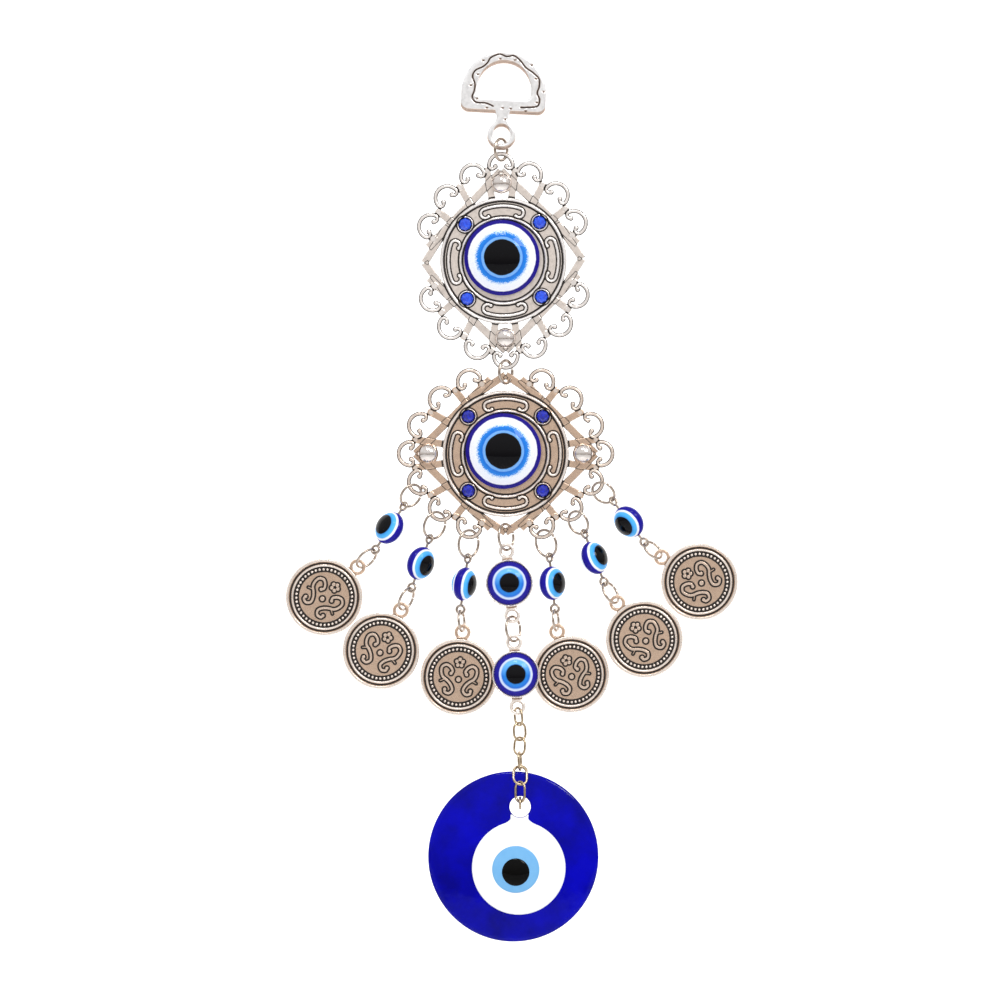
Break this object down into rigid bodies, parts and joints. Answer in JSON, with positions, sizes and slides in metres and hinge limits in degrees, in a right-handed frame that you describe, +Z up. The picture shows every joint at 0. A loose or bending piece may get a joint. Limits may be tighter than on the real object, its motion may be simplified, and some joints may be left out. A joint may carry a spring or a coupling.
{
  "type": "evil eye hanging ornament",
  "caption": "Hanging ornament: cast loop, filigree medallions with domed eyes, swinging drops of eye beads and relief tokens, and a blue glass eye disc on a chain.",
  "frame": {"origin": "highest point inside the hanger's loop, where a nail or hook carries the ornament", "axes": "+Z up along the hang line, +X to the viewer's right, the front with the eyes faces -Y"},
  "size_m": [0.1331, 0.0139, 0.2618],
  "materials": {
    "bright_silver": "polished nickel plate",
    "antique_silver": "antique silver plate, black patina left in the recesses",
    "wire": "plated wire",
    "eye_resin": "glossy domed resin, navy, white, light blue and black eye",
    "sapphire_stone": "faceted, glossy",
    "bead_glass": "glossy bead, navy edge, white and light blue rings and a black pupil on both faces",
    "cobalt_glass": "deep cobalt cast glass, glossy, so dark that it reads opaque",
    "white_glass": "glossy fused glass",
    "light_blue_glass": "glossy fused glass",
    "black_glass": "glossy fused glass"
  },
  "bodies": {
    "hanger": {"hanger": "bright_silver"},
    "top_ring": {"top_ring": "wire"},
    "upper_medallion": {"upper_medallion": "antique_silver", "upper_eye": "eye_resin", "upper_stones": "sapphire_stone"},
    "middle_ring": {"middle_ring": "wire"},
    "lower_medallion": {"lower_medallion": "antique_silver", "lower_eye": "eye_resin", "lower_stones": "sapphire_stone"},
    "left_outer_ring": {"left_outer_ring": "wire"},
    "left_outer_pin": {"left_outer_pin": "wire"},
    "left_outer_bead": {"left_outer_bead": "bead_glass"},
    "left_outer_coin_ring": {"left_outer_coin_ring": "wire"},
    "left_outer_coin": {"left_outer_coin": "antique_silver"},
    "left_middle_ring": {"left_middle_ring": "wire"},
    "left_middle_pin": {"left_middle_pin": "wire"},
    "left_middle_bead": {"left_middle_bead": "bead_glass"},
    "left_middle_coin_ring": {"left_middle_coin_ring": "wire"},
    "left_middle_coin": {"left_middle_coin": "antique_silver"},
    "left_inner_ring": {"left_inner_ring": "wire"},
    "left_inner_pin": {"left_inner_pin": "wire"},
    "left_inner_bead": {"left_inner_bead": "bead_glass"},
    "left_inner_coin_ring": {"left_inner_coin_ring": "wire"},
    "left_inner_coin": {"left_inner_coin": "antique_silver"},
    "right_inner_ring": {"right_inner_ring": "wire"},
    "right_inner_pin": {"right_inner_pin": "wire"},
    "right_inner_bead": {"right_inner_bead": "bead_glass"},
    "right_inner_coin_ring": {"right_inner_coin_ring": "wire"},
    "right_inner_coin": {"right_inner_coin": "antique_silver"},
    "right_middle_ring": {"right_middle_ring": "wire"},
    "right_middle_pin": {"right_middle_pin": "wire"},
    "right_middle_bead": {"right_middle_bead": "bead_glass"},
    "right_middle_coin_ring": {"right_middle_coin_ring": "wire"},
    "right_middle_coin": {"right_middle_coin": "antique_silver"},
    "right_outer_ring": {"right_outer_ring": "wire"},
    "right_outer_pin": {"right_outer_pin": "wire"},
    "right_outer_bead": {"right_outer_bead": "bead_glass"},
    "right_outer_coin_ring": {"right_outer_coin_ring": "wire"},
    "right_outer_coin": {"right_outer_coin": "antique_silver"},
    "column_ring": {"column_ring": "wire"},
    "upper_connector": {"upper_connector": "antique_silver", "upper_connector_eye": "eye_resin"},
    "connector_ring": {"connector_ring": "wire"},
    "lower_connector": {"lower_connector": "antique_silver", "lower_connector_eye": "eye_resin"},
    "chain_link_1": {"chain_link_1": "wire"},
    "chain_link_2": {"chain_link_2": "wire"},
    "chain_link_3": {"chain_link_3": "wire"},
    "chain_link_4": {"chain_link_4": "wire"},
    "disc": {"disc_glass": "cobalt_glass", "disc_white": "white_glass", "disc_iris": "light_blue_glass", "disc_pupil": "black_glass", "front_loop_upper_link": "wire", "front_loop_lower_link": "wire", "back_loop_upper_link": "wire", "back_loop_lower_link": "wire", "disc_hole_link": "wire"}
  },
  "joints": [
    {"name": "top_ring_swing", "type": "hinge", "parent": "hanger", "child": "top_ring", "pos_m": [-0.00129, 0, -0.02457], "axis": [1, 0, 0], "range_deg": [-20, 20]},
    {"name": "upper_medallion_tilt", "type": "hinge", "parent": "top_ring", "child": "upper_medallion", "pos_m": [-0.00133, 0, -0.02847], "axis": [0, 1, 0], "range_deg": [-10, 10]},
    {"name": "middle_ring_swing", "type": "hinge", "parent": "upper_medallion", "child": "middle_ring", "pos_m": [0.00026, 0, -0.0893], "axis": [1, 0, 0], "range_deg": [-20, 20]},
    {"name": "lower_medallion_tilt", "type": "hinge", "parent": "middle_ring", "child": "lower_medallion", "pos_m": [0.0001, 0, -0.09405], "axis": [0, 1, 0], "range_deg": [-8, 8]},
    {"name": "left_outer_ring_sway", "type": "hinge", "parent": "lower_medallion", "child": "left_outer_ring", "pos_m": [-0.02574, 0.00004, -0.12421], "axis": [0, 1, 0], "range_deg": [-6, 22]},
    {"name": "left_outer_pin_swing", "type": "hinge", "parent": "left_outer_ring", "child": "left_outer_pin", "pos_m": [-0.02975, 0.00022, -0.12995], "axis": [0.8387, 0, -0.5446], "range_deg": [-20, 20]},
    {"name": "left_outer_bead_spin", "type": "hinge", "parent": "left_outer_pin", "child": "left_outer_bead", "pos_m": [-0.03405, 0.00043, -0.13657], "axis": [0.5445, -0.0262, 0.8384], "continuous": true},
    {"name": "left_outer_coin_ring_swing", "type": "hinge", "parent": "left_outer_pin", "child": "left_outer_coin_ring", "pos_m": [-0.03835, 0.00064, -0.14319], "axis": [-0.6947, 0, 0.7193], "range_deg": [-20, 20]},
    {"name": "left_outer_coin_sway", "type": "hinge", "parent": "left_outer_coin_ring", "child": "left_outer_coin", "pos_m": [-0.04324, 0.00081, -0.14791], "axis": [0.0195, 0.9997, 0.0175], "range_deg": [-7, 10]},
    {"name": "left_middle_ring_sway", "type": "hinge", "parent": "lower_medallion", "child": "left_middle_ring", "pos_m": [-0.01932, -0.00004, -0.13208], "axis": [0, 1, 0], "range_deg": [-6, 22]},
    {"name": "left_middle_pin_swing", "type": "hinge", "parent": "left_middle_ring", "child": "left_middle_pin", "pos_m": [-0.02219, -0.00025, -0.13955], "axis": [0.9397, 0, -0.342], "range_deg": [-20, 20]},
    {"name": "left_middle_bead_spin", "type": "hinge", "parent": "left_middle_pin", "child": "left_middle_bead", "pos_m": [-0.02489, -0.00045, -0.14697], "axis": [0.3419, 0.0262, 0.9394], "continuous": true},
    {"name": "left_middle_coin_ring_swing", "type": "hinge", "parent": "left_middle_pin", "child": "left_middle_coin_ring", "pos_m": [-0.02759, -0.00066, -0.15439], "axis": [-0.8988, 0, 0.4384], "range_deg": [-20, 20]},
    {"name": "left_middle_coin_sway", "type": "hinge", "parent": "left_middle_coin_ring", "child": "left_middle_coin", "pos_m": [-0.03057, -0.00084, -0.1605], "axis": [-0.0115, 0.9997, -0.0235], "range_deg": [-10, 10]},
    {"name": "left_inner_ring_sway", "type": "hinge", "parent": "lower_medallion", "child": "left_inner_ring", "pos_m": [-0.01058, 0.00008, -0.13727], "axis": [0, 1, 0], "range_deg": [-5, 12]},
    {"name": "left_inner_pin_swing", "type": "hinge", "parent": "left_inner_ring", "child": "left_inner_pin", "pos_m": [-0.011, 0.00049, -0.14525], "axis": [0.9903, 0, -0.1392], "range_deg": [0, 20]},
    {"name": "left_inner_bead_spin", "type": "hinge", "parent": "left_inner_pin", "child": "left_inner_bead", "pos_m": [-0.0121, 0.00091, -0.15306], "axis": [0.139, -0.0523, 0.9889], "continuous": true},
    {"name": "left_inner_coin_ring_swing", "type": "hinge", "parent": "left_inner_pin", "child": "left_inner_coin_ring", "pos_m": [-0.01319, 0.00132, -0.16087], "axis": [0.9945, 0, 0.1045], "range_deg": [0, 20]},
    {"name": "left_inner_coin_sway", "type": "hinge", "parent": "left_inner_coin_ring", "child": "left_inner_coin", "pos_m": [-0.01255, 0.00165, -0.16703], "axis": [0.0046, 0.9986, 0.0521], "range_deg": [-10, 10]},
    {"name": "right_inner_ring_sway", "type": "hinge", "parent": "lower_medallion", "child": "right_inner_ring", "pos_m": [0.01105, 0.00008, -0.13723], "axis": [0, 1, 0], "range_deg": [-12, 5]},
    {"name": "right_inner_pin_swing", "type": "hinge", "parent": "right_inner_ring", "child": "right_inner_pin", "pos_m": [0.01298, 0.00049, -0.14498], "axis": [0.9945, 0, 0.1045], "range_deg": [0, 20]},
    {"name": "right_inner_bead_spin", "type": "hinge", "parent": "right_inner_pin", "child": "right_inner_bead", "pos_m": [0.0138, 0.00091, -0.15283], "axis": [-0.1044, -0.0523, 0.9932], "continuous": true},
    {"name": "right_inner_coin_ring_swing", "type": "hinge", "parent": "right_inner_pin", "child": "right_inner_coin_ring", "pos_m": [0.01463, 0.00132, -0.16068], "axis": [0.9962, 0, 0.0872], "range_deg": [0, 20]},
    {"name": "right_inner_coin_sway", "type": "hinge", "parent": "right_inner_coin_ring", "child": "right_inner_coin", "pos_m": [0.01517, 0.00165, -0.16684], "axis": [-0.0162, 0.9986, 0.0498], "range_deg": [-10, 10]},
    {"name": "right_middle_ring_sway", "type": "hinge", "parent": "lower_medallion", "child": "right_middle_ring", "pos_m": [0.01972, -0.00004, -0.13198], "axis": [0, 1, 0], "range_deg": [-22, 6]},
    {"name": "right_middle_pin_swing", "type": "hinge", "parent": "right_middle_ring", "child": "right_middle_pin", "pos_m": [0.02322, -0.00022, -0.13804], "axis": [0.9272, 0, 0.3746], "range_deg": [-20, 20]},
    {"name": "right_middle_bead_spin", "type": "hinge", "parent": "right_middle_pin", "child": "right_middle_bead", "pos_m": [0.02618, -0.00043, -0.14536], "axis": [-0.3745, 0.0262, 0.9269], "continuous": true},
    {"name": "right_middle_coin_ring_swing", "type": "hinge", "parent": "right_middle_pin", "child": "right_middle_coin_ring", "pos_m": [0.02914, -0.00064, -0.15269], "axis": [-0.848, 0, -0.5299], "range_deg": [-20, 20]},
    {"name": "right_middle_coin_sway", "type": "hinge", "parent": "right_middle_coin_ring", "child": "right_middle_coin", "pos_m": [0.03274, -0.00081, -0.15845], "axis": [0.0158, 0.9997, -0.0209], "range_deg": [-10, 10]},
    {"name": "right_outer_ring_sway", "type": "hinge", "parent": "lower_medallion", "child": "right_outer_ring", "pos_m": [0.02621, 0.00004, -0.12396], "axis": [0, 1, 0], "range_deg": [-22, 6]},
    {"name": "right_outer_pin_swing", "type": "hinge", "parent": "right_outer_ring", "child": "right_outer_pin", "pos_m": [0.03157, 0.00022, -0.12846], "axis": [0.7986, 0, 0.6018], "range_deg": [-20, 20]},
    {"name": "right_outer_bead_spin", "type": "hinge", "parent": "right_outer_pin", "child": "right_outer_bead", "pos_m": [0.03632, 0.00043, -0.13476], "axis": [-0.6016, -0.0262, 0.7984], "continuous": true},
    {"name": "right_outer_coin_ring_swing", "type": "hinge", "parent": "right_outer_pin", "child": "right_outer_coin_ring", "pos_m": [0.04107, 0.00064, -0.14107], "axis": [-0.6428, 0, -0.766], "range_deg": [-20, 20]},
    {"name": "right_outer_coin_sway", "type": "hinge", "parent": "right_outer_coin_ring", "child": "right_outer_coin", "pos_m": [0.04582, 0.0008, -0.14505], "axis": [-0.022, 0.9997, 0.0143], "range_deg": [-10, 10]},
    {"name": "column_ring_swing", "type": "hinge", "parent": "lower_medallion", "child": "column_ring", "pos_m": [0.0001, 0, -0.13793], "axis": [1, 0, 0], "range_deg": [-25, 0]},
    {"name": "upper_connector_twist", "type": "hinge", "parent": "column_ring", "child": "upper_connector", "pos_m": [0.00036, -0.00047, -0.14309], "axis": [-0.087, 0.061, 0.9943], "range_deg": [-12, 12]},
    {"name": "connector_ring_swing", "type": "hinge", "parent": "upper_connector", "child": "connector_ring", "pos_m": [0.00207, -0.00167, -0.16258], "axis": [1, 0, 0], "range_deg": [-20, 0]},
    {"name": "lower_connector_sway", "type": "hinge", "parent": "connector_ring", "child": "lower_connector", "pos_m": [0.00258, -0.00211, -0.16984], "axis": [0.0032, 0.9981, -0.061], "range_deg": [-6, 6]},
    {"name": "chain_link_1_swing", "type": "hinge", "parent": "lower_connector", "child": "chain_link_1", "pos_m": [0.0036, -0.00331, -0.18938], "axis": [1, 0, 0], "range_deg": [-20, 20]},
    {"name": "chain_link_2_swing", "type": "hinge", "parent": "chain_link_1", "child": "chain_link_2", "pos_m": [0.00405, -0.00331, -0.1937], "axis": [0, 1, 0], "range_deg": [-15, 15]},
    {"name": "chain_link_3_swing", "type": "hinge", "parent": "chain_link_2", "child": "chain_link_3", "pos_m": [0.00436, -0.00331, -0.19803], "axis": [-1, 0, 0], "range_deg": [-20, 20]},
    {"name": "chain_link_4_swing", "type": "hinge", "parent": "chain_link_3", "child": "chain_link_4", "pos_m": [0.00413, -0.00331, -0.20236], "axis": [0, -1, 0], "range_deg": [-15, 15]},
    {"name": "disc_swing", "type": "hinge", "parent": "chain_link_4", "child": "disc", "pos_m": [0.00436, -0.00331, -0.20555], "axis": [1, 0, 0], "range_deg": [-20, 20]}
  ]
}
